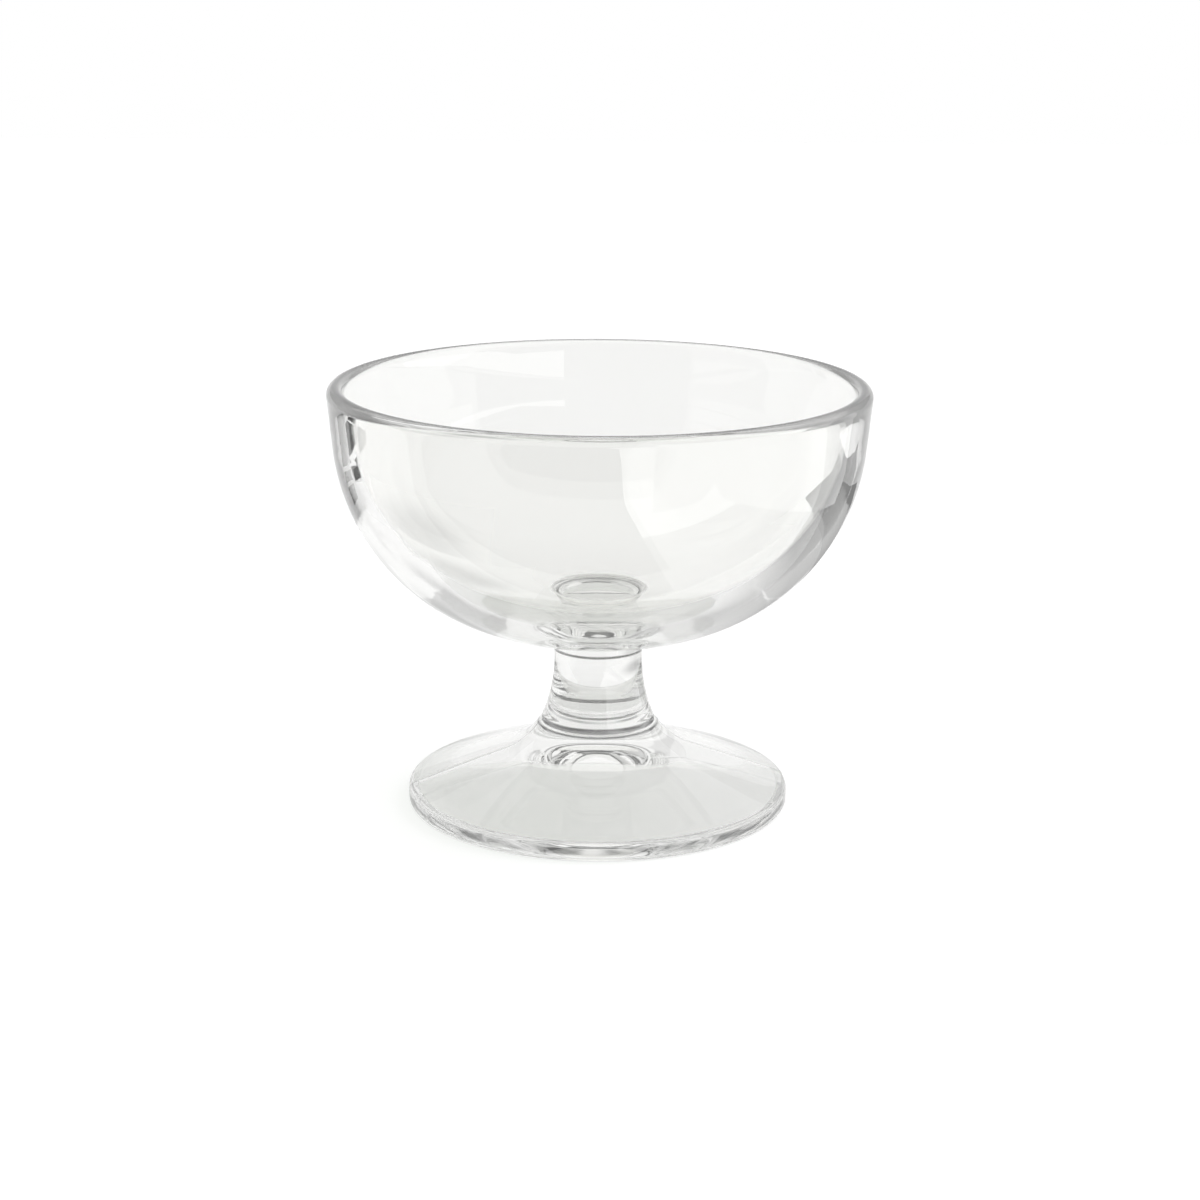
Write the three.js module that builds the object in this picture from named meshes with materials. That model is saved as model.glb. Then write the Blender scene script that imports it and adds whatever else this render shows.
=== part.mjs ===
// Pressed glass dessert bowl on a short stem with a hollow foot.
// Millimetres, +Z up. The origin is the centre of the foot, on the table.
//
// The glass is made as three turned pieces, fused end to end: the foot, a shallow cone
// that is hollow beneath, the waisted stem, which is solid, and the bowl with its boss.
// Each outline is straight lines and arcs that run into each other without a corner,
// and is revolved about Z.

import * as THREE from 'three';

// Bowl
const RIM_DIAMETER = 110; // outside
const RIM_WALL = 3.65; // the rim is rounded over to a half circle
const BOWL_HEIGHT = 51.4; // rim to the underside of the belly
const OUTSIDE_DRAFT = 5.6; // degrees that the outer side leans from upright
const INSIDE_DRAFT = 7.5; // degrees that the inner side leans
const OUTSIDE_BELLY = 43.2; // radius of the belly, outside
const INSIDE_BELLY = 38; // radius of the belly, inside
const FLOOR_WALL = 6.5; // glass under the middle of the bowl

// Boss, the short neck under the bowl
const BOSS_DIAMETER = 19.2;
const BOSS_HEIGHT = 3.75; // underside of the belly to the joint with the stem
const BOSS_FILLET = 1.2; // between the boss and the belly

// Stem
const STEM_LENGTH = 15.65; // joint with the foot to joint with the bowl
const WAIST_DIAMETER = 18.2; // where the stem is narrowest
const WAIST_DROP = 2.15; // joint with the bowl to the narrowest place
const WAIST_CURVE = 33.4; // radius of the waist, seen from the side
const FLARE_CURVE = 14.5; // radius where the stem spreads into the foot

// Foot
const FOOT_DIAMETER = 79;
const FOOT_HEIGHT = 17.2; // table to the joint with the stem
const FOOT_SLOPE = 19.9; // degrees that the top of the foot falls away
const EDGE_HEIGHT = 3.9; // table to where the slope would meet the upright edge
const TOP_EDGE_RADIUS = 1.6;
const TABLE_EDGE_RADIUS = 1.2;

// Hollow under the foot
const RING_WIDTH = 1.9; // flat ring that stands on the table
const HOLLOW_HEIGHT = 10; // table to the crown of the hollow
const CROWN_CURVE = 22; // radius of the crown
const MOUTH_RADIUS = 2; // rounding between the ring and the hollow

// Fused joint under the bowl, a fine crease
const CREASE_RADIUS = 0.5; // rounding of both edges that meet there

// Fused joint of the stem and the foot, a shallow groove round the flare
const GROOVE_DEPTH = 0.35;
const GROOVE_ABOVE = 1.9; // width of its upper side, on the stem
const GROOVE_BELOW = 0.45; // width of its lower side, on the foot

// Facets
const TURN_STEPS = 72; // round the axis
const CURVE_STEP = 7.5; // degrees per step along the large curves
const EDGE_STEP = 30; // degrees per step along the small edges

// Heights of the joints and the rim
const STEM_JOINT = FOOT_HEIGHT;
const BOWL_JOINT = STEM_JOINT + STEM_LENGTH;
const BELLY_LOW = BOWL_JOINT + BOSS_HEIGHT;
const RIM_TOP = BELLY_LOW + BOWL_HEIGHT;

const toRadians = THREE.MathUtils.degToRad;
const toDegrees = THREE.MathUtils.radToDeg;

// A point of an outline: distance from the axis, height above the table.
function point(radius, height) {
  return new THREE.Vector2(radius, height);
}

// A step of the given length from a point, in a direction given in degrees.
function away(from, direction, length) {
  const angle = toRadians(direction);
  return point(from.x + length * Math.cos(angle), from.y + length * Math.sin(angle));
}

// Direction in degrees from one point to another, from 0 to 360.
function bearing(from, to) {
  const direction = toDegrees(Math.atan2(to.y - from.y, to.x - from.x));
  return direction < 0 ? direction + 360 : direction;
}

// The points of an arc between two directions, both ends included.
function arc(centre, radius, start, end, step = CURVE_STEP) {
  const steps = Math.ceil(Math.abs(end - start) / step);
  const points = [];
  for (let i = 0; i <= steps; i += 1) {
    points.push(away(centre, start + (end - start) * i / steps, radius));
  }
  return points;
}

// Centre of a belly arc that touches a leaning side and a level floor.
// The side leans out by the draft and passes through the given point.
function bellyCentre(side, draft, radius, floor) {
  const height = floor + radius;
  const lean = toRadians(draft);
  const sideRadius = side.x - (side.y - height) * Math.tan(lean);
  return point(sideRadius - radius / Math.cos(lean), height);
}

function bowlOutline() {
  const half = RIM_WALL / 2;
  const rim = point(RIM_DIAMETER / 2 - half, RIM_TOP - half);
  const outside = bellyCentre(away(rim, -OUTSIDE_DRAFT, half), OUTSIDE_DRAFT, OUTSIDE_BELLY, BELLY_LOW);
  const floor = BELLY_LOW + FLOOR_WALL;
  const inside = bellyCentre(away(rim, 180 - INSIDE_DRAFT, half), INSIDE_DRAFT, INSIDE_BELLY, floor);

  // The boss meets the belly in a fillet that touches both.
  const bossRadius = BOSS_DIAMETER / 2;
  const filletRadius = bossRadius + BOSS_FILLET;
  const reach = OUTSIDE_BELLY + BOSS_FILLET;
  const drop = filletRadius > outside.x ? Math.sqrt(reach ** 2 - (filletRadius - outside.x) ** 2) : reach;
  const fillet = point(filletRadius, outside.y - drop);
  const meet = filletRadius > outside.x ? bearing(outside, fillet) : 270;
  const crease = point(bossRadius - CREASE_RADIUS, BOWL_JOINT + CREASE_RADIUS);

  return [
    point(0, BOWL_JOINT),
    ...arc(crease, CREASE_RADIUS, -90, 0, EDGE_STEP),
    ...arc(fillet, BOSS_FILLET, 180, meet - 180, EDGE_STEP),
    ...arc(outside, OUTSIDE_BELLY, meet, 360 - OUTSIDE_DRAFT),
    ...arc(rim, half, -OUTSIDE_DRAFT, 0, EDGE_STEP),
    ...arc(rim, half, 0, 90, EDGE_STEP).slice(1),
    ...arc(rim, half, 90, 180 - INSIDE_DRAFT, EDGE_STEP).slice(1),
    ...arc(inside, INSIDE_BELLY, -INSIDE_DRAFT, -90),
    point(0, floor),
  ];
}

// Centre of the waist's curve, outside the glass.
const WAIST_CENTRE = point(WAIST_DIAMETER / 2 + WAIST_CURVE, BOWL_JOINT - WAIST_DROP);

// Centre of the flare's curve, which touches the top of the foot and the waist's curve.
function flareCentre() {
  const corner = point(FOOT_DIAMETER / 2, EDGE_HEIGHT);
  const start = away(corner, 90 - FOOT_SLOPE, FLARE_CURVE);
  const inward = away(point(0, 0), 180 - FOOT_SLOPE, 1);
  const toWaist = WAIST_CENTRE.clone().sub(start);
  const along = toWaist.dot(inward);
  const aside = toWaist.clone().addScaledVector(inward, -along).length();
  const between = WAIST_CURVE - FLARE_CURVE;
  return start.addScaledVector(inward, along + Math.sqrt(between ** 2 - aside ** 2));
}

const FLARE_CENTRE = flareCentre();

// Direction from the flare's centre to where the flare crosses the joint with the foot.
const FLARE_CROSSING = 180 + toDegrees(Math.asin((FLARE_CENTRE.y - STEM_JOINT) / FLARE_CURVE));

// A side of the groove: an arc that leaves the flare without a corner and ends at the
// bottom of the groove, which is on the joint. Widths below the joint are positive.
function grooveSide(width) {
  const crossing = away(FLARE_CENTRE, FLARE_CROSSING, FLARE_CURVE);
  const depth = GROOVE_DEPTH / Math.cos(toRadians(FLARE_CROSSING - 180));
  const bottom = point(crossing.x - depth, STEM_JOINT);
  const leaves = FLARE_CROSSING + toDegrees(width / FLARE_CURVE);
  const start = away(FLARE_CENTRE, leaves, FLARE_CURVE);
  const inward = away(point(0, 0), leaves, 1);
  const span = bottom.clone().sub(start);
  const radius = span.lengthSq() / (2 * span.dot(inward));
  const centre = start.addScaledVector(inward, radius);
  const end = toDegrees(Math.atan2(bottom.y - centre.y, bottom.x - centre.x));
  return { leaves, centre, radius, start: leaves - 180, end };
}

function stemOutline() {
  const groove = grooveSide(-GROOVE_ABOVE);
  const touch = bearing(WAIST_CENTRE, FLARE_CENTRE);
  const reach = WAIST_CURVE + CREASE_RADIUS;
  const rise = BOWL_JOINT - CREASE_RADIUS - WAIST_CENTRE.y;
  const lean = toDegrees(Math.asin(rise / reach));
  const crease = away(WAIST_CENTRE, 180 - lean, reach);
  return [
    point(0, STEM_JOINT),
    ...arc(groove.centre, groove.radius, groove.end, groove.start),
    ...arc(FLARE_CENTRE, FLARE_CURVE, groove.leaves, touch).slice(1),
    ...arc(WAIST_CENTRE, WAIST_CURVE, touch, 180 - lean).slice(1),
    ...arc(crease, CREASE_RADIUS, -lean, 90, EDGE_STEP).slice(1),
    point(0, BOWL_JOINT),
  ];
}

function footOutline() {
  const footRadius = FOOT_DIAMETER / 2;
  const tableEdge = point(footRadius - TABLE_EDGE_RADIUS, TABLE_EDGE_RADIUS);
  const mouth = point(tableEdge.x - RING_WIDTH, MOUTH_RADIUS);
  const crown = point(0, HOLLOW_HEIGHT - CROWN_CURVE);
  const apart = mouth.distanceTo(crown);
  const lean = bearing(mouth, crown) + toDegrees(Math.acos((MOUTH_RADIUS + CROWN_CURVE) / apart));
  const turn = 90 - FOOT_SLOPE;
  const cut = TOP_EDGE_RADIUS * Math.tan(toRadians(turn / 2));
  const topEdge = point(footRadius - TOP_EDGE_RADIUS, EDGE_HEIGHT - cut);
  const groove = grooveSide(GROOVE_BELOW);
  return [
    ...arc(crown, CROWN_CURVE, 90, lean - 180),
    ...arc(mouth, MOUTH_RADIUS, lean, 270, EDGE_STEP),
    ...arc(tableEdge, TABLE_EDGE_RADIUS, 270, 360, EDGE_STEP),
    ...arc(topEdge, TOP_EDGE_RADIUS, 0, turn, EDGE_STEP),
    ...arc(FLARE_CENTRE, FLARE_CURVE, 180 + turn, groove.leaves),
    ...arc(groove.centre, groove.radius, groove.start, groove.end).slice(1),
    point(0, STEM_JOINT),
  ];
}

// A closed body turned about Z from an outline that starts and ends on the axis.
function turned(name, outline, colour) {
  outline[0].x = 0;
  outline[outline.length - 1].x = 0;
  const geometry = new THREE.LatheGeometry(outline, TURN_STEPS);
  geometry.rotateX(Math.PI / 2);
  const glass = new THREE.MeshStandardMaterial({
    color: colour,
    roughness: 0.03,
    metalness: 0,
    transparent: true,
    opacity: 0.4,
  });
  const mesh = new THREE.Mesh(geometry, glass);
  mesh.name = name;
  return mesh;
}

const dessertBowl = new THREE.Group();
dessertBowl.name = 'dessert_bowl';
dessertBowl.add(turned('bowl', bowlOutline(), 0xe8ece8));
dessertBowl.add(turned('stem', stemOutline(), 0xe4e8e4));
dessertBowl.add(turned('foot', footOutline(), 0xe0e5e1));

export default dessertBowl;
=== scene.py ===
"""Footed dessert bowl of clear pressed glass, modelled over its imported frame."""

import math

import bpy
from mathutils import Matrix, Vector


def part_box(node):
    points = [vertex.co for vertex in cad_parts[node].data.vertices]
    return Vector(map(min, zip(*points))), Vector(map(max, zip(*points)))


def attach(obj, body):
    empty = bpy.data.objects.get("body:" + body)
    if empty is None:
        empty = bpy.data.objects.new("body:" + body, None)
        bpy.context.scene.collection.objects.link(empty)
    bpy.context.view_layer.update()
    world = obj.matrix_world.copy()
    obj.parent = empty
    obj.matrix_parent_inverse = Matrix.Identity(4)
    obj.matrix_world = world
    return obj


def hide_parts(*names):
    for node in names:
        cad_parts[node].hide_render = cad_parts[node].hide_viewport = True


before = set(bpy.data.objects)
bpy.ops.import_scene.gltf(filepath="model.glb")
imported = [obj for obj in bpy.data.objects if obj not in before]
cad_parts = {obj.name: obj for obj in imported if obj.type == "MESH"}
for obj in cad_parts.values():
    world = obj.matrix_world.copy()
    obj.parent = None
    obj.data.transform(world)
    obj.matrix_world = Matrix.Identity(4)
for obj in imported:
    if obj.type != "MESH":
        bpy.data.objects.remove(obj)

bl_info = {
    "name": "Dessert Bowl",
    "version": (1, 0, 0),
    "blender": (4, 5, 0),
    "location": "3D View > Sidebar > Dessert Bowl",
    "description": "Models a footed dessert bowl of clear pressed glass and its studio",
    "category": "Add Mesh",
}

MM = 0.001

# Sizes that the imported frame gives, in millimetres
BOWL_LOW, BOWL_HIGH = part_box("bowl")
FOOT_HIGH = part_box("foot")[1]
RIM_RADIUS = BOWL_HIGH.x / MM
RIM_TOP = BOWL_HIGH.z / MM
BOWL_JOINT = BOWL_LOW.z / MM
FOOT_RADIUS = FOOT_HIGH.x / MM
STEM_JOINT = FOOT_HIGH.z / MM

# Bowl, in millimetres and degrees
RIM_WALL = 3.65
OUTSIDE_DRAFT = 5.6
INSIDE_DRAFT = 7.5
OUTSIDE_BELLY = 43.2
INSIDE_BELLY = 38
FLOOR_WALL = 6.5
BOSS_RADIUS = 9.6
BOSS_HEIGHT = 3.75
BOSS_FILLET = 1.2
BELLY_LOW = BOWL_JOINT + BOSS_HEIGHT

# Stem
WAIST_RADIUS = 9.1
WAIST_DROP = 2.15
WAIST_CURVE = 33.4
FLARE_CURVE = 14.5
CREASE_RADIUS = 0.5
GROOVE_DEPTH = 0.35
GROOVE_ABOVE = 1.9
GROOVE_BELOW = 0.45

# Foot and the hollow under it
FOOT_SLOPE = 19.9
EDGE_HEIGHT = 3.9
TOP_EDGE_RADIUS = 1.6
TABLE_EDGE_RADIUS = 1.2
RING_WIDTH = 1.9
HOLLOW_HEIGHT = 10
CROWN_CURVE = 22
MOUTH_RADIUS = 2

# Fineness of the turned meshes: steps round the axis, then degrees per step along the arcs
TURN_STEPS = 256
CURVE_STEP = 1.5
GROOVE_STEP = 4
EDGE_STEP = 10

# Edges that turn by less than this, in degrees, look round
SMOOTH_BELOW = 32

# Differences in millimetres below which two places, or two heights, count as one
DOUBLES = 0.002
LEVEL = 0.001

# Light that runs round inside the rim's wall turns very often before it comes out
GLASS_BOUNCES = 128

# Waves in the skin: how far they are drawn out, how many fine ones, share of the slow ones
WAVE_STRETCH = 0.45
FINE_WAVES = 4
SLOW_SHARE = 0.85

# Shade painted into the colour of the glass, in millimetres: dark bands at the creases of the
# fused joints and at the rim's top, where light is trapped in the glass, and painted shade along
# the mould seams and round the foot's edge. The bands of the edge are a lower height,
# an upper height and how softly they fade.
# Painted shade: pairs of heights of the dark bands, at the stem's two joints, at the bowl's joint
# and the rim's top, and in the groove on the foot
STEM_SHADE_BANDS = ((STEM_JOINT, STEM_JOINT + 1.1), (BOWL_JOINT - 0.35, BOWL_JOINT + 1))
BOWL_SHADE_BANDS = ((BOWL_JOINT - 1, BOWL_JOINT + 0.35), (RIM_TOP - 0.15, RIM_TOP + 1))
FOOT_SHADE_BANDS = ((STEM_JOINT - 0.65, STEM_JOINT - 0.25),)
EDGE_BAND = (1.5, 2.9, 0.25)
EDGE_LINE = (3.95, 4.15, 0.12)
EDGE_REACH = 0.7
EDGE_BEYOND = 1
EDGE_BLUR = 0.3
EDGE_BLOCK = 9
SEAM_SHOWN = 0.28
SEAM_BELOW = 0.6
SEAM_ABOVE = 1
SEAM_BLUR = 0.1

# How dark that painted shade is, and how the blocks of it along the edge come and go
SEAM_DARKNESS = 0.7
EDGE_DARKNESS = 0.95
LINE_DARKNESS = 0.7
BLOCK_FLATNESS = 3
BLOCK_STARTS = 0.42
BLOCK_FULL = 0.56
BLOCK_SHARE = 0.75

# Where the mould seams are looked for: how far under the slope and the upper rounding of
# the foot, in millimetres, how many times the groove's radius from the axis, and the
# fewest edges to be found there
SEAM_UNDER_SLOPE = 1.2
SEAM_UNDER_ROUNDING = 0.2
SEAM_OFF_GROOVE = 1.1
SEAM_LEAST_EDGES = 20

# What a lamp's light keeps on its way through one skin of glass
SHADOW_TINT = (0.965, 0.97, 0.962, 1)

# Where the key lamp shines from, and how wide it looks, in degrees
LAMP_PLACE = Vector((0.8, 0.25, 1.0))
LAMP_ANGLE = 30

# How much brighter the camera sees the paper, and the tone of the dark strips
OVER_EXPOSED = 0.13
STRIP_TONE = 0.04

# Places and sizes in the studio, in metres
FLOOR_Y = 0.63
FLOOR_Z = -0.00005
FLOOR_SIZE = (3.0, 1.7, 1)
ROOM_HALF = 1.5
ROOM_TOP = 1.5
BACKDROP_Y = 1.48
BACKDROP_LOW = 0.26
BACKDROP_HIGH = 0.95
BACKDROP_MIDDLE = 0.55
BACKDROP_STEP = 0.33
FLAG_HALF = 1.2
FLAG_Y = -0.6
SOFTBOX_X = 0.165
SOFTBOX_Y = -0.17
SOFTBOX_TOP = 0.12
SOFTBOX_BACK = 0.08
SOFTBOX_END = 0.06
DARK_SIDE_X = 0.035
SHEET_END = 0.6
SIDE_X = -0.6
SIDE_LOW = 0.03

# Heights of the cards above the floor, different where they overlap
CARD_LIFT = 0.0004
CARD_LIFT_BACK = 0.0005
CARD_LIFT_RIGHT = 0.0006

# Where the tone of a card fades: a part of its length, or distances from its middle
FLAG_FADE = 0.55
SHADE_RIM = 0.5
SHADE_HEART = 0.1

# Rays that see most cards: what the glass mirrors, and what shows through it
IN_GLASS = ("glossy", "transmission")


def deselect():
    """Leaves edit mode and clears the selection."""
    if bpy.context.object and bpy.context.object.mode != "OBJECT":
        bpy.ops.object.mode_set(mode="OBJECT")
    bpy.ops.object.select_all(action="DESELECT")


def added(name):
    """The object just added, under its name."""
    made = bpy.context.active_object
    made.name = name
    return made


def away(start, direction, length):
    """The point at a length from a start, in a direction in degrees."""
    angle = math.radians(direction)
    return start + length * Vector((math.cos(angle), math.sin(angle)))


def bearing(start, end):
    """Direction in degrees from one point to another, from 0 to 360."""
    way = end - start
    return math.degrees(math.atan2(way.y, way.x)) % 360


def belly_centre(side, draft, radius, floor):
    """Centre of a belly arc that touches a leaning side and a level floor."""
    height = floor + radius
    lean = math.radians(draft)
    side_radius = side.x - (side.y - height) * math.tan(lean)
    return Vector((side_radius - radius / math.cos(lean), height))


class Outline:
    """Half of a turned form, drawn as a chain of vertices at Y 0, in millimetres."""

    def __init__(self, name, radius, height):
        deselect()
        bpy.ops.mesh.primitive_plane_add(size=MM, location=(radius * MM, 0, height * MM))
        self.piece = added(name)
        self.piece.data.name = name
        bpy.ops.object.transform_apply(location=True, rotation=False, scale=False)
        bpy.ops.object.mode_set(mode="EDIT")
        bpy.ops.mesh.select_all(action="SELECT")
        bpy.ops.mesh.merge(type="CENTER")
        self.end = Vector((radius, height))

    def line(self, end, steps=1):
        """Extrudes the last vertex in a straight line."""
        step = (Vector(end) - self.end) / steps
        for _ in range(steps):
            move = {"value": (step.x * MM, 0, step.y * MM)}
            bpy.ops.mesh.extrude_vertices_move(TRANSFORM_OT_translate=move)
        self.end = Vector(end)

    def arc(self, centre, radius, start, end, step=CURVE_STEP):
        """Spins the last vertex round a centre, from one direction to another."""
        first = away(centre, start, radius)
        if (first - self.end).length > 0.0005:
            self.line(first)
        steps = max(1, math.ceil(abs(end - start) / step))
        bpy.ops.mesh.spin(
            steps=steps,
            angle=math.radians(end - start),
            center=(centre.x * MM, 0, centre.y * MM),
            axis=(0, 1, 0),
        )
        self.end = away(centre, end, radius)

    def turn(self, start=0.0):
        """Turns the chain about Z into a closed body, starting at a bearing."""
        bpy.ops.mesh.select_all(action="SELECT")
        if start:
            bpy.ops.transform.rotate(
                value=-math.radians(start),
                orient_axis="Z",
                orient_type="GLOBAL",
                center_override=(0, 0, 0),
            )
        bpy.ops.mesh.spin(
            steps=TURN_STEPS,
            angle=math.tau,
            center=(0, 0, 0),
            axis=(0, 0, 1),
        )
        bpy.ops.mesh.select_all(action="SELECT")
        bpy.ops.mesh.remove_doubles(threshold=DOUBLES * MM)
        bpy.ops.mesh.normals_make_consistent(inside=False)
        bpy.ops.object.mode_set(mode="OBJECT")
        return self.piece


def rim_centre():
    """Centre of the half circle that rounds the rim."""
    half = RIM_WALL / 2
    return Vector((RIM_RADIUS - half, RIM_TOP - half))


def inner_belly():
    """Centre of the belly's arc inside."""
    side = away(rim_centre(), 180 - INSIDE_DRAFT, RIM_WALL / 2)
    return belly_centre(side, INSIDE_DRAFT, INSIDE_BELLY, BELLY_LOW + FLOOR_WALL)


def outer_belly():
    """Centre of the belly's arc outside."""
    side = away(rim_centre(), -OUTSIDE_DRAFT, RIM_WALL / 2)
    return belly_centre(side, OUTSIDE_DRAFT, OUTSIDE_BELLY, BELLY_LOW)


def waist_centre():
    """Centre of the waist's arc, outside the glass."""
    return Vector((WAIST_RADIUS + WAIST_CURVE, BOWL_JOINT - WAIST_DROP))


def flare_centre():
    """Centre of the flare, which touches the top of the foot and the waist."""
    waist = waist_centre()
    start = away(Vector((FOOT_RADIUS, EDGE_HEIGHT)), 90 - FOOT_SLOPE, FLARE_CURVE)
    inward = away(Vector((0, 0)), 180 - FOOT_SLOPE, 1)
    to_waist = waist - start
    along = to_waist.dot(inward)
    aside = (to_waist - inward * along).length
    between = WAIST_CURVE - FLARE_CURVE
    return start + inward * (along + math.sqrt(between**2 - aside**2))


def flare_crossing():
    """Direction from the flare's centre to where it crosses the joint with the foot."""
    drop = flare_centre().y - STEM_JOINT
    return 180 + math.degrees(math.asin(drop / FLARE_CURVE))


def stem_crease():
    """Centre of the rounding at the top of the stem, and its direction from the waist."""
    waist = waist_centre()
    rise = BOWL_JOINT - CREASE_RADIUS - waist.y
    lean = math.degrees(math.asin(rise / (WAIST_CURVE + CREASE_RADIUS)))
    return away(waist, 180 - lean, WAIST_CURVE + CREASE_RADIUS), lean


def groove_bottom():
    """The bottom of the groove round the joint of the stem and the foot."""
    crossing = flare_crossing()
    depth = GROOVE_DEPTH / math.cos(math.radians(crossing - 180))
    return Vector((away(flare_centre(), crossing, FLARE_CURVE).x - depth, STEM_JOINT))


def groove_side(width):
    """An arc from the flare into the groove.

    Gives where it leaves the flare, its centre and radius, and its first and last directions.
    """
    leaves = flare_crossing() + math.degrees(width / FLARE_CURVE)
    start = away(flare_centre(), leaves, FLARE_CURVE)
    inward = away(Vector((0, 0)), leaves, 1)
    span = groove_bottom() - start
    radius = span.length_squared / (2 * span.dot(inward))
    centre = start + inward * radius
    down = groove_bottom() - centre
    return leaves, centre, radius, leaves - 180, math.degrees(math.atan2(down.y, down.x))


class Wire:
    """A shader socket that takes part in sums."""

    def __init__(self, shader, socket):
        self.shader = shader
        self.socket = socket

    def sum(self, operation, first, second):
        return self.shader.node("Math", {"operation": operation}, {0: first, 1: second})

    def __add__(self, other):
        return self.sum("ADD", self, other)

    def __radd__(self, other):
        return self.sum("ADD", other, self)

    def __sub__(self, other):
        return self.sum("SUBTRACT", self, other)

    def __rsub__(self, other):
        return self.sum("SUBTRACT", other, self)

    def __mul__(self, other):
        return self.sum("MULTIPLY", self, other)

    def __rmul__(self, other):
        return self.sum("MULTIPLY", other, self)


class Shader:
    """A material or world, built node by node."""

    def __init__(self, owner, end="OutputMaterial"):
        owner.use_nodes = True
        self.tree = owner.node_tree
        self.tree.nodes.clear()
        self.end = self.tree.nodes.new("ShaderNode" + end)

    def node(self, kind, settings=None, sockets=None, out=0):
        """Adds a node, makes its settings, then fills its sockets with values or wires."""
        made = self.tree.nodes.new("ShaderNode" + kind)
        for name, value in (settings or {}).items():
            setattr(made, name, value)
        for name, value in (sockets or {}).items():
            if isinstance(value, Wire):
                self.tree.links.new(value.socket, made.inputs[name])
            else:
                made.inputs[name].default_value = value
        return Wire(self, made.outputs[out])

    def finish(self, surface):
        self.tree.links.new(surface.socket, self.end.inputs["Surface"])


def within(value, low, high, blur):
    """1 where a wire lies between two limits, and 0 beyond them, with a soft edge."""
    above = value.shader.node("MapRange", {}, {0: value, 1: low - blur, 2: low + blur})
    below = value.shader.node("MapRange", {}, {0: value, 1: high + blur, 2: high - blur})
    return above * below


def from_axis(shader, place):
    """Distance from the axis."""
    flat = shader.node("VectorMath", {"operation": "MULTIPLY"}, {0: place, 1: (1, 1, 0)})
    return shader.node("VectorMath", {"operation": "LENGTH"}, {0: flat}, out=1)


def seam_line(shader, place, turn, width):
    """1 along the mould seams on the top of the foot, and 0 elsewhere."""
    across = (-math.sin(turn), math.cos(turn), 0)
    aside = shader.node("VectorMath", {"operation": "DOT_PRODUCT"}, {0: place, 1: across}, out=1)
    radius = from_axis(shader, place)
    height = shader.node("SeparateXYZ", {}, {"Vector": place}, out=2)
    slope = math.tan(math.radians(FOOT_SLOPE))
    cone = (EDGE_HEIGHT + FOOT_RADIUS * slope) * MM
    low, high = cone - SEAM_BELOW * MM, cone + SEAM_ABOVE * MM
    on_top = within(height + radius * slope, low, high, SEAM_BLUR * MM)
    return within(aside, -width / 2, width / 2, width / 2) * on_top


def edge_shade(shader, place):
    """Painted shade: irregular darker blocks along the upright edge of the foot, and a dark line
    above them.
    """
    radius = from_axis(shader, place)
    height = shader.node("SeparateXYZ", {}, {"Vector": place}, out=2)
    inner, outer = FOOT_RADIUS - EDGE_REACH, FOOT_RADIUS + EDGE_BEYOND
    edge = within(radius, inner * MM, outer * MM, EDGE_BLUR * MM)
    band = within(height, *(length * MM for length in EDGE_BAND))
    line = within(height, *(length * MM for length in EDGE_LINE))
    long = shader.node("Mapping", {}, {"Vector": place, "Scale": (1, 1, BLOCK_FLATNESS)})
    size = 1 / (EDGE_BLOCK * MM)
    blocks = shader.node("TexNoise", {}, {"Vector": long, "Scale": size, "Detail": 1.0})
    some = shader.node("MapRange", {}, {0: blocks, 1: BLOCK_STARTS, 2: BLOCK_FULL})
    uneven = some * BLOCK_SHARE + (1 - BLOCK_SHARE)
    return edge * (band * uneven + line * LINE_DARKNESS)


def foot_shade(shader, place):
    """How dark the painted shade along the mould seams and the edge of the foot is."""
    seam = bpy.context.scene.dessert_seam
    return [
        # Painted shade along the raised mould seams
        seam_line(shader, place, seam.turn, SEAM_SHOWN * MM) * SEAM_DARKNESS,
        edge_shade(shader, place) * EDGE_DARKNESS,
    ]


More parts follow.
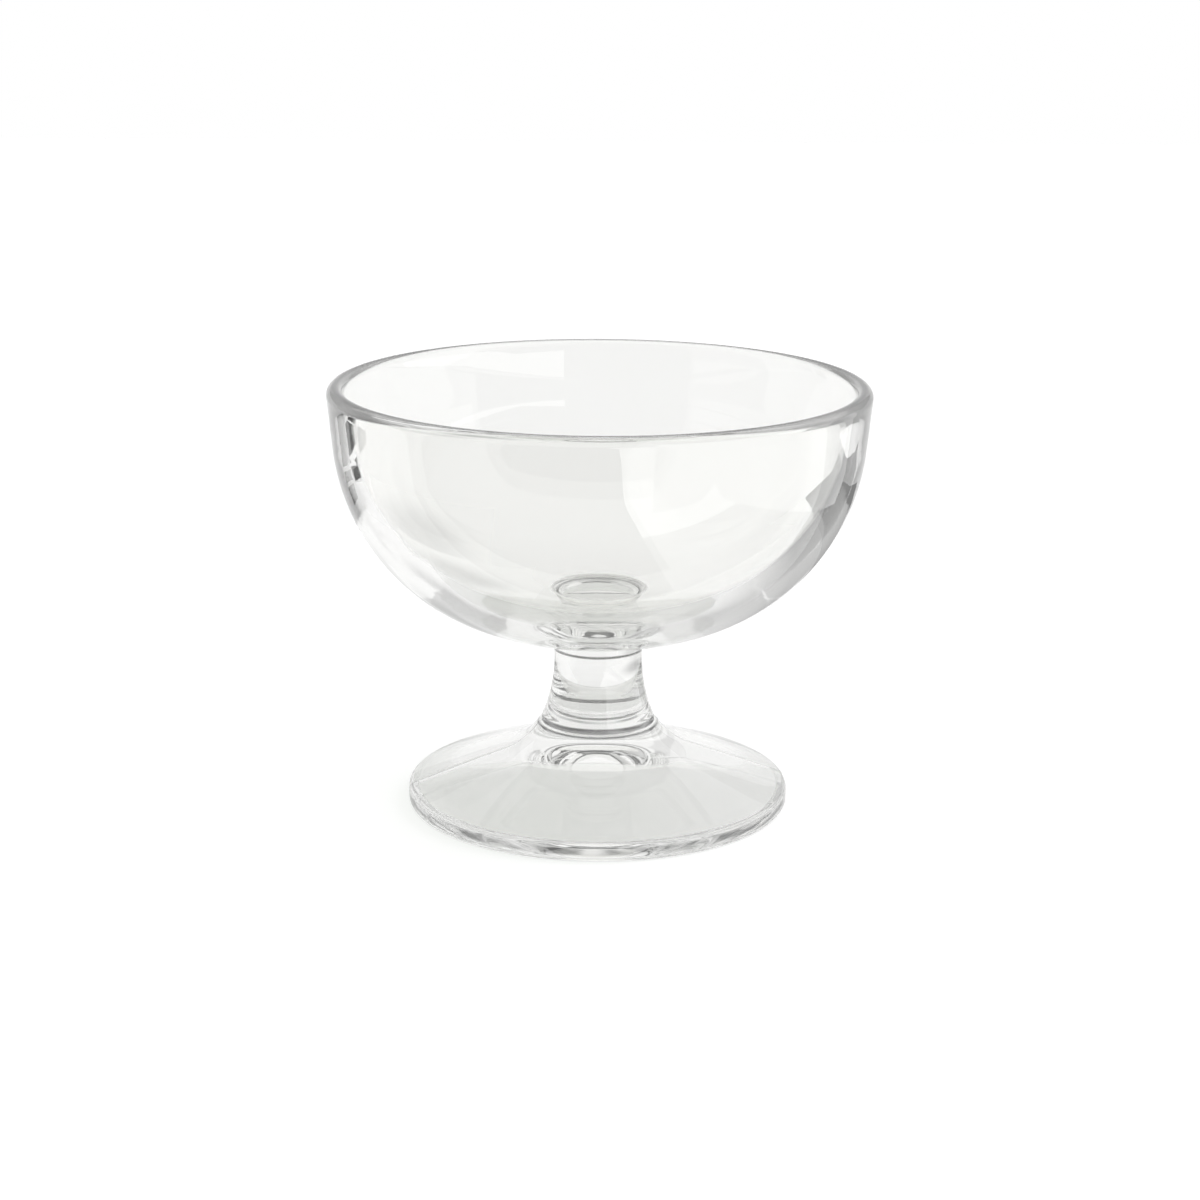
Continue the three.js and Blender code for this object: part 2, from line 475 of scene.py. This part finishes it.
def clear_glass(name, wave_turn, creases, more_shade=None):
    """Fire-polished glass with the slow waves that pressing leaves in its skin.

    Creases are pairs of heights, in millimetres, between which shade is painted into the colour
    of the glass, where light is trapped in a joint's crease or at the rim's top. More shade, when
    given, adds painted shade along the mould seams and the foot's edge.
    """
    look = bpy.context.scene.dessert_glass
    material = bpy.data.materials.new(name)
    shader = Shader(material)
    place = shader.node("TexCoord", out="Object")
    turned = shader.node(
        "Mapping",
        {},
        {"Vector": place, "Rotation": (0, 0, wave_turn), "Scale": (1, 1, WAVE_STRETCH)},
    )
    slow = shader.node(
        "TexNoise", {}, {"Vector": turned, "Scale": 1 / look.wave_length, "Detail": 1.0}
    )
    fine = shader.node(
        "TexNoise", {}, {"Vector": place, "Scale": FINE_WAVES / look.wave_length, "Detail": 2.0}
    )
    waves = slow * SLOW_SHARE + fine * (1 - SLOW_SHARE)
    skin = shader.node(
        "Bump", {}, {"Strength": 1.0, "Distance": look.wave_height, "Height": waves}
    )
    shade = shader.node(
        "Mix",
        {"data_type": "RGBA"},
        {"Factor": slow, "A": (*look.tint, 1), "B": (*look.tint_thick, 1)},
        out=2,
    )
    height = shader.node("SeparateXYZ", {}, {"Vector": place}, out=2)
    # Painted shade: the dark bands, and any more painted shade, are mixed into the colour of the
    # glass
    shade_masks = [within(height, low * MM, high * MM, look.shade_band_blur) for low, high in creases]
    if more_shade:
        shade_masks += more_shade(shader, place)
    for trapped in shade_masks:
        shade = shader.node(
            "Mix",
            {"data_type": "RGBA"},
            {"Factor": trapped, "A": shade, "B": (*look.painted_shade_tint, 1)},
            out=2,
        )
    glass = shader.node(
        "BsdfPrincipled",
        {},
        {
            "Base Color": shade,
            "Roughness": fine * look.haze,
            "IOR": look.ior,
            "Transmission Weight": 1.0,
            "Normal": skin,
        },
    )
    clear = shader.node("BsdfTransparent", {}, {"Color": SHADOW_TINT})
    lamp = shader.node("LightPath", out="Is Shadow Ray")
    shader.finish(shader.node("MixShader", {}, {0: lamp, 1: glass, 2: clear}))
    return material


def fused_face():
    """Where two pieces of glass are one: nothing to see."""
    material = bpy.data.materials.get("fused_face")
    if material is None:
        material = bpy.data.materials.new("fused_face")
        shader = Shader(material)
        shader.finish(shader.node("BsdfTransparent", {}, {"Color": (1, 1, 1, 1)}))
    return material


def dress(piece, node, material, joints):
    """Gives a piece its glass, and clears the faces that lie in the joints.

    Joints are pairs of a height and the radius of the disc that is fused there.
    """
    piece.data.materials.clear()
    piece.data.materials.append(material)
    piece.data.materials.append(fused_face())
    for face in piece.data.polygons:
        radius = math.hypot(face.center.x, face.center.y)
        fused = any(
            abs(face.center.z - height * MM) < LEVEL * MM and radius < reach * MM
            for height, reach in joints
        )
        face.material_index = 1 if fused and abs(face.normal.z) > 0.999 else 0
    deselect()
    piece.select_set(True)
    bpy.context.view_layer.objects.active = piece
    bpy.ops.object.shade_smooth_by_angle(angle=math.radians(SMOOTH_BELOW))
    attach(piece, "root")
    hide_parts(node)


class GlassLook(bpy.types.PropertyGroup):
    """Colour and skin of the glass, and the dark colour painted on it as shade."""

    tint: bpy.props.FloatVectorProperty(
        name="Tint",
        description="Colour that one skin of glass lets through",
        subtype="COLOR",
        size=3,
        min=0.0,
        max=1.0,
        default=(0.975, 0.976, 0.963),
    )
    tint_thick: bpy.props.FloatVectorProperty(
        name="Thick tint",
        description="Colour where the skin is thicker",
        subtype="COLOR",
        size=3,
        min=0.0,
        max=1.0,
        default=(0.965, 0.966, 0.952),
    )
    # Painted shade: the dark colour that the bands, the seams and the foot's edge are mixed
    # towards
    painted_shade_tint: bpy.props.FloatVectorProperty(
        name="Painted shade tint",
        description="Colour in the creases of the fused joints, where the light is trapped",
        subtype="COLOR",
        size=3,
        min=0.0,
        max=1.0,
        default=(0.14, 0.14, 0.14),
    )
    # How softly the bands of painted shade fade out
    shade_band_blur: bpy.props.FloatProperty(
        name="Shade band blur",
        description="How softly a crease fades out",
        default=0.12 * MM,
        unit="LENGTH",
        precision=5,
    )
    ior: bpy.props.FloatProperty(
        name="Refraction",
        description="Index of refraction of soda-lime glass",
        default=1.52,
        min=1.4,
        max=1.8,
    )
    haze: bpy.props.FloatProperty(
        name="Haze",
        description="Roughness of the fire-polished skin at its dullest",
        default=0.012,
        min=0.0,
        max=0.2,
    )
    wave_height: bpy.props.FloatProperty(
        name="Wave height",
        description="Height of the waves that pressing leaves",
        default=0.03 * MM,
        unit="LENGTH",
        precision=6,
    )
    wave_length: bpy.props.FloatProperty(
        name="Wave length",
        description="Distance from wave to wave",
        default=0.02,
        unit="LENGTH",
        min=0.001,
    )


class SeamSize(bpy.types.PropertyGroup):
    """Fins that the two halves of the mould leave on the foot."""

    turn: bpy.props.FloatProperty(
        name="Turn",
        description="Bearing of the parting plane from the X axis",
        default=math.radians(7),
        subtype="ANGLE",
    )
    width: bpy.props.FloatProperty(
        name="Width",
        description="Width of the fin",
        default=0.3 * MM,
        unit="LENGTH",
        precision=5,
    )
    height: bpy.props.FloatProperty(
        name="Height",
        description="Height of the fin above the foot",
        default=0.06 * MM,
        unit="LENGTH",
        precision=6,
    )


class StudioSet(bpy.types.PropertyGroup):
    """Floor, lamps and cards."""

    floor_tone: bpy.props.FloatProperty(
        name="Floor tone",
        description="How much light the floor gives back",
        default=0.88,
        min=0.0,
        max=1.0,
    )
    lamp: bpy.props.FloatProperty(
        name="Lamp",
        description="Strength of the soft key lamp",
        default=3.1,
        min=0.0,
    )
    room: bpy.props.FloatProperty(
        name="Room",
        description="Strength of the light from all round",
        default=0.25,
        min=0.0,
    )
    softbox: bpy.props.FloatProperty(
        name="Softbox",
        description="Brightness of the lit card that the glass mirrors",
        default=1.8,
        min=0.0,
    )
    flag: bpy.props.FloatProperty(
        name="Flag",
        description="Brightness of the dark cards in front, where the glass mirrors them",
        default=0.2,
        min=0.0,
    )


class DESSERTBOWL_OT_bowl(bpy.types.Operator):
    """Turns the bowl with its rolled rim, its belly and the boss beneath"""

    bl_idname = "dessert_bowl.bowl"
    bl_label = "Bowl"

    def execute(self, context):
        half = RIM_WALL / 2
        rim = rim_centre()
        inside = inner_belly()
        outside = outer_belly()
        floor = BELLY_LOW + FLOOR_WALL
        fillet_radius = BOSS_RADIUS + BOSS_FILLET
        reach = OUTSIDE_BELLY + BOSS_FILLET
        over = max(fillet_radius - outside.x, 0)
        fillet = Vector((fillet_radius, outside.y - math.sqrt(reach**2 - over**2)))
        meet = bearing(outside, fillet) if over else 270
        crease = Vector((BOSS_RADIUS - CREASE_RADIUS, BOWL_JOINT + CREASE_RADIUS))

        bowl = Outline("glass_bowl", 0, floor)
        bowl.line((inside.x, floor), steps=6)
        bowl.arc(inside, INSIDE_BELLY, -90, -INSIDE_DRAFT)
        bowl.line(away(rim, 180 - INSIDE_DRAFT, half), steps=4)
        bowl.arc(rim, half, 180 - INSIDE_DRAFT, 90, EDGE_STEP)
        bowl.arc(rim, half, 90, 0, EDGE_STEP)
        bowl.arc(rim, half, 0, -OUTSIDE_DRAFT, EDGE_STEP)
        bowl.line(away(outside, -OUTSIDE_DRAFT, OUTSIDE_BELLY), steps=4)
        bowl.arc(outside, OUTSIDE_BELLY, -OUTSIDE_DRAFT, meet - 360)
        bowl.arc(fillet, BOSS_FILLET, meet - 180, 180, EDGE_STEP)
        bowl.line((BOSS_RADIUS, crease.y), steps=2)
        bowl.arc(crease, CREASE_RADIUS, 0, -90, EDGE_STEP)
        reach = stem_crease()[0].x
        bowl.line((reach, BOWL_JOINT))
        bowl.line((0, BOWL_JOINT))
        piece = bowl.turn()
        glass = clear_glass("bowl_glass", wave_turn=0.3, creases=BOWL_SHADE_BANDS)
        dress(piece, "bowl", glass, [(BOWL_JOINT, reach)])
        return {"FINISHED"}


class DESSERTBOWL_OT_stem(bpy.types.Operator):
    """Turns the solid stem, from its crease under the bowl to its flare"""

    bl_idname = "dessert_bowl.stem"
    bl_label = "Stem"

    def execute(self, context):
        waist = waist_centre()
        flare = flare_centre()
        touch = bearing(waist, flare)
        crease, lean = stem_crease()
        leaves, groove, radius, start, end = groove_side(-GROOVE_ABOVE)
        stem = Outline("glass_stem", 0, STEM_JOINT)
        stem.line(groove_bottom())
        stem.arc(groove, radius, end, start, GROOVE_STEP)
        stem.arc(flare, FLARE_CURVE, leaves, touch)
        stem.arc(waist, WAIST_CURVE, touch, 180 - lean)
        stem.arc(crease, CREASE_RADIUS, -lean, 90, EDGE_STEP)
        stem.line((0, BOWL_JOINT))
        piece = stem.turn()
        glass = clear_glass("stem_glass", wave_turn=1.1, creases=STEM_SHADE_BANDS)
        joints = [(STEM_JOINT, groove_bottom().x), (BOWL_JOINT, crease.x)]
        dress(piece, "stem", glass, joints)
        return {"FINISHED"}


class DESSERTBOWL_OT_foot(bpy.types.Operator):
    """Turns the hollow foot and raises the two mould seams on it"""

    bl_idname = "dessert_bowl.foot"
    bl_label = "Foot"

    def execute(self, context):
        seam = context.scene.dessert_seam
        edge = Vector((FOOT_RADIUS - TABLE_EDGE_RADIUS, TABLE_EDGE_RADIUS))
        mouth = Vector((edge.x - RING_WIDTH, MOUTH_RADIUS))
        crown = Vector((0, HOLLOW_HEIGHT - CROWN_CURVE))
        apart = (crown - mouth).length
        lean = bearing(mouth, crown)
        lean += math.degrees(math.acos((MOUTH_RADIUS + CROWN_CURVE) / apart))
        turn = 90 - FOOT_SLOPE
        cut = TOP_EDGE_RADIUS * math.tan(math.radians(turn / 2))
        top = Vector((FOOT_RADIUS - TOP_EDGE_RADIUS, EDGE_HEIGHT - cut))
        flare = flare_centre()
        leaves, groove, radius, start, end = groove_side(GROOVE_BELOW)

        foot = Outline("glass_foot", 0, HOLLOW_HEIGHT)
        foot.arc(crown, CROWN_CURVE, 90, lean - 180)
        foot.line(away(mouth, lean, MOUTH_RADIUS), steps=8)
        foot.arc(mouth, MOUTH_RADIUS, lean, 270, EDGE_STEP)
        foot.line((edge.x, 0))
        foot.arc(edge, TABLE_EDGE_RADIUS, -90, 0, EDGE_STEP)
        foot.arc(top, TOP_EDGE_RADIUS, 0, turn, EDGE_STEP)
        foot.line(away(flare, 180 + turn, FLARE_CURVE), steps=8)
        foot.arc(flare, FLARE_CURVE, 180 + turn, leaves)
        foot.arc(groove, radius, start, end, GROOVE_STEP)
        foot.line((0, STEM_JOINT))
        piece = foot.turn(math.degrees(seam.turn))
        self.raise_seams(piece, seam, top)
        glass = clear_glass(
            "foot_glass", wave_turn=2.0, creases=FOOT_SHADE_BANDS, more_shade=foot_shade
        )
        dress(piece, "foot", glass, [(STEM_JOINT, groove_bottom().x)])
        return {"FINISHED"}

    def raise_seams(self, piece, seam, top):
        """Bevels the two meridians in the parting plane and lifts their middle line."""
        across = Vector((-math.sin(seam.turn), math.cos(seam.turn), 0))
        under = HOLLOW_HEIGHT * MM
        bpy.ops.object.mode_set(mode="EDIT")
        bpy.ops.mesh.select_all(action="DESELECT")
        bpy.ops.object.mode_set(mode="OBJECT")
        points = piece.data.vertices
        outline = []
        for line in piece.data.edges:
            ends = [points[i].co for i in line.vertices]
            middle = (ends[0] + ends[1]) / 2
            radius = math.hypot(middle.x, middle.y)
            on_plane = all(abs(end.dot(across)) < DOUBLES * MM for end in ends)
            outside = middle.z > (top.y - SEAM_UNDER_ROUNDING) * MM
            roof = outside and middle.z > self.roof(radius / MM) * MM
            level = abs(ends[0].z - ends[1].z) < LEVEL * MM and middle.z > under
            line.select = on_plane and roof and not level
            if line.select:
                outline.append(middle)
        for point in points:
            point.select = False
        if len(outline) < SEAM_LEAST_EDGES:
            raise RuntimeError("the seam lines were not found on the foot")
        bpy.ops.object.mode_set(mode="EDIT")
        bpy.ops.mesh.select_mode(type="EDGE")
        bpy.ops.mesh.bevel(offset=seam.width / 2, segments=2, profile=0.5, affect="EDGES")
        bpy.ops.object.mode_set(mode="OBJECT")
        for point in piece.data.vertices:
            place = point.co
            radius = math.hypot(place.x, place.y)
            middle = abs(place.dot(across)) < DOUBLES * MM
            inner = radius > groove_bottom().x * MM * SEAM_OFF_GROOVE
            roof = place.z > self.roof(radius / MM) * MM and place.z > top.y * MM
            point.select = middle and inner and roof
        bpy.ops.object.mode_set(mode="EDIT")
        bpy.ops.mesh.select_mode(type="VERT")
        bpy.ops.transform.shrink_fatten(value=seam.height)
        bpy.ops.object.mode_set(mode="OBJECT")

    def roof(self, radius):
        """A height inside the glass of the foot, between its hollow and its top."""
        slope = math.tan(math.radians(FOOT_SLOPE))
        return EDGE_HEIGHT + (FOOT_RADIUS - radius) * slope - SEAM_UNDER_SLOPE


def direct(shader):
    """1 on rays that no matt surface has sent on yet, and 0 on the others."""
    matt = shader.node("LightPath", out="Diffuse Depth")
    return shader.node("Math", {"operation": "LESS_THAN"}, {0: matt, 1: 0.5})


def lit(name, tone):
    """A surface that is seen in the glass, and lights nothing. Tone makes its strength."""
    material = bpy.data.materials.new(name)
    shader = Shader(material)
    strength = direct(shader) * tone(shader)
    shader.finish(shader.node("Emission", {}, {"Color": (1, 1, 1, 1), "Strength": strength}))
    return material


def plain(name, strength):
    """The same strength all over."""
    return lit(name, lambda shader: strength)


def flag(name, strength, fade=0.0):
    """A dark surface that shows only in what the glass mirrors, and is white seen through it.

    It can start white at the card's first edge and darken over a part of its length.
    """

    def tone(shader):
        depth = shader.node("LightPath", out="Glossy Depth")
        mirrored = shader.node("Math", {"operation": "GREATER_THAN"}, {0: depth, 1: 0.5})
        if fade:
            place = shader.node("TexCoord", out="UV")
            along = shader.node("SeparateXYZ", {}, {"Vector": place}, out=1)
            mirrored = mirrored * shader.node("MapRange", {}, {0: along, 2: fade})
        return 1 - mirrored * (1 - strength)

    return lit(name, tone)


def soft_flag(name, strength):
    """A flag that darkens slowly from the card's first edge."""
    return flag(name, strength, FLAG_FADE)


def soft_shade(name, strength):
    """Paper in a soft shadow, darkest in the middle of the card."""

    def tone(shader):
        place = shader.node("TexCoord", out="UV")
        middle = {0: place, 1: (0.5, 0.5, 0)}
        off_centre = shader.node("VectorMath", {"operation": "DISTANCE"}, middle, out=1)
        fall = {0: off_centre, 1: SHADE_RIM, 2: SHADE_HEART}
        shadow = shader.node("MapRange", {"interpolation_type": "SMOOTHSTEP"}, fall)
        return 1 - shadow * (1 - strength)

    return lit(name, tone)


def card(name, corners, strength, seen, surface=plain):
    """A flat card with four corners. It casts no shadow and no light."""
    deselect()
    bpy.ops.mesh.primitive_plane_add(size=1)
    made = added(name)
    # The corners go round the card, and a plane's vertices run left to right, then up.
    for point, corner in zip((0, 1, 3, 2), corners):
        made.data.vertices[point].co = corner
    made.data.materials.append(surface(name, strength))
    made.visible_camera = "camera" in seen
    made.visible_glossy = "glossy" in seen
    made.visible_transmission = "transmission" in seen
    made.visible_diffuse = False
    made.visible_shadow = False


def upright(start, end, low, high):
    """Corners of an upright card over a line on the floor."""
    return [(*start, low), (*end, low), (*end, high), (*start, high)]


def on_floor(*places, height=CARD_LIFT):
    """Corners of a card that lies on the floor."""
    return [(x, y, height) for x, y in places]


def floor_before(left, right, edge):
    """Corners of a card on the floor, from the dark front of the room up to an edge."""
    return on_floor((left, FLAG_Y), (right, FLAG_Y), (right, edge), (left, edge))


def floor_seen(start, azimuth, elevation):
    """Where a line from a point, down at an elevation, meets the floor."""
    reach = start[2] / math.tan(math.radians(elevation))
    turn = math.radians(azimuth)
    return (start[0] + reach * math.sin(turn), start[1] + reach * math.cos(turn))


class DESSERTBOWL_OT_stage(bpy.types.Operator):
    """Sets the pale floor, the cards that the glass mirrors, the lamp and the camera"""

    bl_idname = "dessert_bowl.stage"
    bl_label = "Stage"

    def execute(self, context):
        studio = context.scene.dessert_studio
        self.floor(studio)
        self.backdrop()
        self.softbox(studio.softbox)
        self.dark_front(studio.flag)
        self.shadows()
        self.strips()
        self.light(context, studio)
        self.camera(context)
        context.scene.view_settings.view_transform = "Standard"
        cycles = context.scene.cycles
        cycles.max_bounces = GLASS_BOUNCES
        cycles.transmission_bounces = GLASS_BOUNCES
        cycles.transparent_max_bounces = GLASS_BOUNCES
        cycles.glossy_bounces = GLASS_BOUNCES
        cycles.caustics_refractive = False
        cycles.caustics_reflective = False
        return {"FINISHED"}

    def floor(self, studio):
        """Matt white paper, a little over-exposed where the camera sees it."""
        deselect()
        bpy.ops.mesh.primitive_plane_add(size=1, location=(0, FLOOR_Y, FLOOR_Z))
        floor = added("floor")
        floor.scale = FLOOR_SIZE
        material = bpy.data.materials.new("floor")
        shader = Shader(material)
        tone = (studio.floor_tone,) * 3 + (1,)
        paper = shader.node("BsdfDiffuse", {}, {"Color": tone})
        # Over-exposed, the paper shows only the deeper shadow
        camera = shader.node("LightPath", out="Is Camera Ray")
        strength = camera * OVER_EXPOSED + (1 - studio.floor_tone)
        glow = shader.node("Emission", {}, {"Strength": strength})
        shader.finish(shader.node("AddShader", {}, {0: paper, 1: glow}))
        floor.data.materials.append(material)

    def backdrop(self):
        """White paper behind the bowl, and greyer paper above it and at both sides."""
        middle, step = BACKDROP_MIDDLE, BACKDROP_STEP
        low, high = BACKDROP_LOW, BACKDROP_HIGH
        # Name, left end, right end, bottom, top, tone and the rays that see it
        panels = (
            ("backdrop", -ROOM_HALF, ROOM_HALF, 0, low, 1.0, ("camera",) + IN_GLASS),
            ("backdrop_top", -step, middle, low, high, 0.95, IN_GLASS),
            ("backdrop_step", -middle, -step, low, high, 0.8, IN_GLASS),
            ("backdrop_left", -ROOM_HALF, -middle, low, high, 0.6, IN_GLASS),
            ("backdrop_right", middle, ROOM_HALF, low, high, 0.6, IN_GLASS),
        )
        for name, left, right, bottom, top, tone, seen in panels:
            corners = upright((left, BACKDROP_Y), (right, BACKDROP_Y), bottom, top)
            card(name, corners, tone, seen)

    def softbox(self, bright):
        """A lit card at the right, whose left end shows in the front wall of the bowl."""
        corner = (SOFTBOX_X, SOFTBOX_Y)
        side = upright((SOFTBOX_X, SOFTBOX_BACK), corner, 0, SOFTBOX_TOP)
        card("softbox_side", side, bright, ("glossy",))
        front = upright(corner, (SOFTBOX_END, SOFTBOX_Y), 0, SOFTBOX_TOP)
        card("softbox_front", front, bright, ("glossy",))

    def dark_front(self, dark):
        """The dark front of the room, the floor before the bowl, a bright glowing sheet at the
        right, and the grey left side.
        """
        front = upright((-FLAG_HALF, FLAG_Y), (FLAG_HALF, FLAG_Y), 0, ROOM_TOP)
        card("flag_front", front, dark, IN_GLASS, flag)
        low_left = floor_before(-FLAG_HALF, DARK_SIDE_X, -0.05)
        card("flag_low", low_left, dark, IN_GLASS, flag)
        low_right = floor_before(DARK_SIDE_X, FLAG_HALF, -0.22)
        card("flag_low_right", low_right, dark, ("transmission",), flag)
        # A bright glowing card on the floor at the right, which lights nothing and shows only in
        # what the glass mirrors
        sheet = floor_before(DARK_SIDE_X, SHEET_END, -0.12)
        card("sheet_right", sheet, 2.5, ("glossy",))
        side = upright((SIDE_X, -1.0), (SIDE_X, 0.6), SIDE_LOW, ROOM_TOP)
        card("flag_side", side, 0.65, IN_GLASS)

    def shadows(self):
        """Shadows on the floor behind the bowl, as its lower edges show them."""
        near = on_floor((0.012, 0.045), (0.045, 0.005), (0.135, 0.04), (0.0775, 0.1098))
        card("shade_near", near, 0.42, IN_GLASS, soft_flag)
        far = on_floor((0.06, 0.131), (0.135, 0.04), (0.255, 0.085), (0.125, 0.196))
        card("shade_far", far, 0.26, IN_GLASS, flag)
        places = ((0.085, 0.155), (0.1, 0.08), (0.2, 0.1), (0.15, 0.21))
        right = on_floor(*places, height=CARD_LIFT_RIGHT)
        card("shade_right", right, 0.27, IN_GLASS)
        left = on_floor((-0.1, 0.03), (-0.03, 0.03), (-0.035, 0.17), (-0.12, 0.17))
        card("shade_left", left, 0.76, IN_GLASS, soft_shade)
        places = ((-0.075, 0.01), (-0.02, 0.036), (-0.015, 0.085), (-0.085, 0.085))
        back = on_floor(*places, height=CARD_LIFT_BACK)
        card("shade_back", back, 0.6, IN_GLASS, soft_shade)

    def strips(self):
        """Dark strips at the back left, as the left wall of the bowl sees them."""
        wall = (-0.05, 0.005, 0.07)
        # Bearings of the left and right ends, and how far below level the far and near ends are
        strips = (
            (-49, -37, 12, 16),
            (-49, -37, 17, 19.5),
            (-49, -37, 20.5, 25),
            (-62, -53, 12, 15.5),
            (-62, -53, 17, 20.5),
        )
        for count, (left, right, far, near) in enumerate(strips):
            places = [
                floor_seen(wall, left, near),
                floor_seen(wall, right, near),
                floor_seen(wall, right, far),
                floor_seen(wall, left, far),
            ]
            card(f"strip_{count + 1}", on_floor(*places), STRIP_TONE, IN_GLASS)

    def light(self, context, studio):
        """One soft key lamp, which the glass doesn't mirror, and light from all round."""
        bpy.ops.object.light_add(type="SUN", location=LAMP_PLACE)
        lamp = added("key_lamp")
        lamp.data.energy = studio.lamp
        lamp.data.angle = math.radians(LAMP_ANGLE)
        lamp.visible_glossy = False
        lamp.visible_transmission = False
        lamp.rotation_euler = (-LAMP_PLACE).to_track_quat("-Z", "Y").to_euler()
        world = bpy.data.worlds.new("room")
        context.scene.world = world
        shader = Shader(world, "OutputWorld")
        camera = shader.node("LightPath", out="Is Camera Ray")
        glossy = shader.node("LightPath", out="Is Glossy Ray")
        through = shader.node("LightPath", out="Is Transmission Ray")
        shown = shader.node(
            "Math", {"operation": "ADD", "use_clamp": True}, {0: camera + glossy, 1: through}
        )
        strength = studio.room + shown * direct(shader) * (1 - studio.room)
        shader.finish(shader.node("Background", {}, {"Color": (1, 1, 1, 1), "Strength": strength}))

    def camera(self, context):
        """The camera of the photograph, as it was fitted to the outlines."""
        distance, height = 0.5171, 0.18356
        focal_pixels, image_width, centre_shift = 2600.4, 1200, -1.41
        pitch, roll = 0.2661, 0.0061
        bpy.ops.object.camera_add()
        camera = added("camera")
        camera.data.sensor_width = 36
        camera.data.lens = focal_pixels / image_width * camera.data.sensor_width
        camera.data.shift_x = -centre_shift / image_width
        camera.data.clip_start = 0.01
        turn = Matrix.Rotation(math.pi / 2 - pitch, 4, "X") @ Matrix.Rotation(roll, 4, "Z")
        camera.matrix_world = Matrix.Translation((0, -distance, height)) @ turn
        context.scene.camera = camera


class DESSERTBOWL_PT_panel(bpy.types.Panel):
    """Sidebar panel of the dessert bowl"""

    bl_label = "Dessert Bowl"
    bl_idname = "DESSERTBOWL_PT_panel"
    bl_space_type = "VIEW_3D"
    bl_region_type = "UI"
    bl_category = "Dessert Bowl"

    def draw(self, context):
        layout = self.layout
        for group in ("dessert_glass", "dessert_seam", "dessert_studio"):
            settings = getattr(context.scene, group)
            column = layout.column(align=True)
            for name in settings.__annotations__:
                column.prop(settings, name)
        for operator in PIECES:
            layout.operator(operator.bl_idname)


PIECES = (
    DESSERTBOWL_OT_bowl,
    DESSERTBOWL_OT_stem,
    DESSERTBOWL_OT_foot,
    DESSERTBOWL_OT_stage,
)
CLASSES = (GlassLook, SeamSize, StudioSet) + PIECES + (DESSERTBOWL_PT_panel,)


def register():
    for made in CLASSES:
        bpy.utils.register_class(made)
    bpy.types.Scene.dessert_glass = bpy.props.PointerProperty(type=GlassLook)
    bpy.types.Scene.dessert_seam = bpy.props.PointerProperty(type=SeamSize)
    bpy.types.Scene.dessert_studio = bpy.props.PointerProperty(type=StudioSet)


def unregister():
    del bpy.types.Scene.dessert_studio
    del bpy.types.Scene.dessert_seam
    del bpy.types.Scene.dessert_glass
    for made in reversed(CLASSES):
        bpy.utils.unregister_class(made)


def main():
    """Makes every piece and the stage."""
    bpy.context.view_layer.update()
    register()
    bpy.ops.dessert_bowl.bowl()
    bpy.ops.dessert_bowl.stem()
    bpy.ops.dessert_bowl.foot()
    bpy.ops.dessert_bowl.stage()


if __name__ == "__main__":
    main()
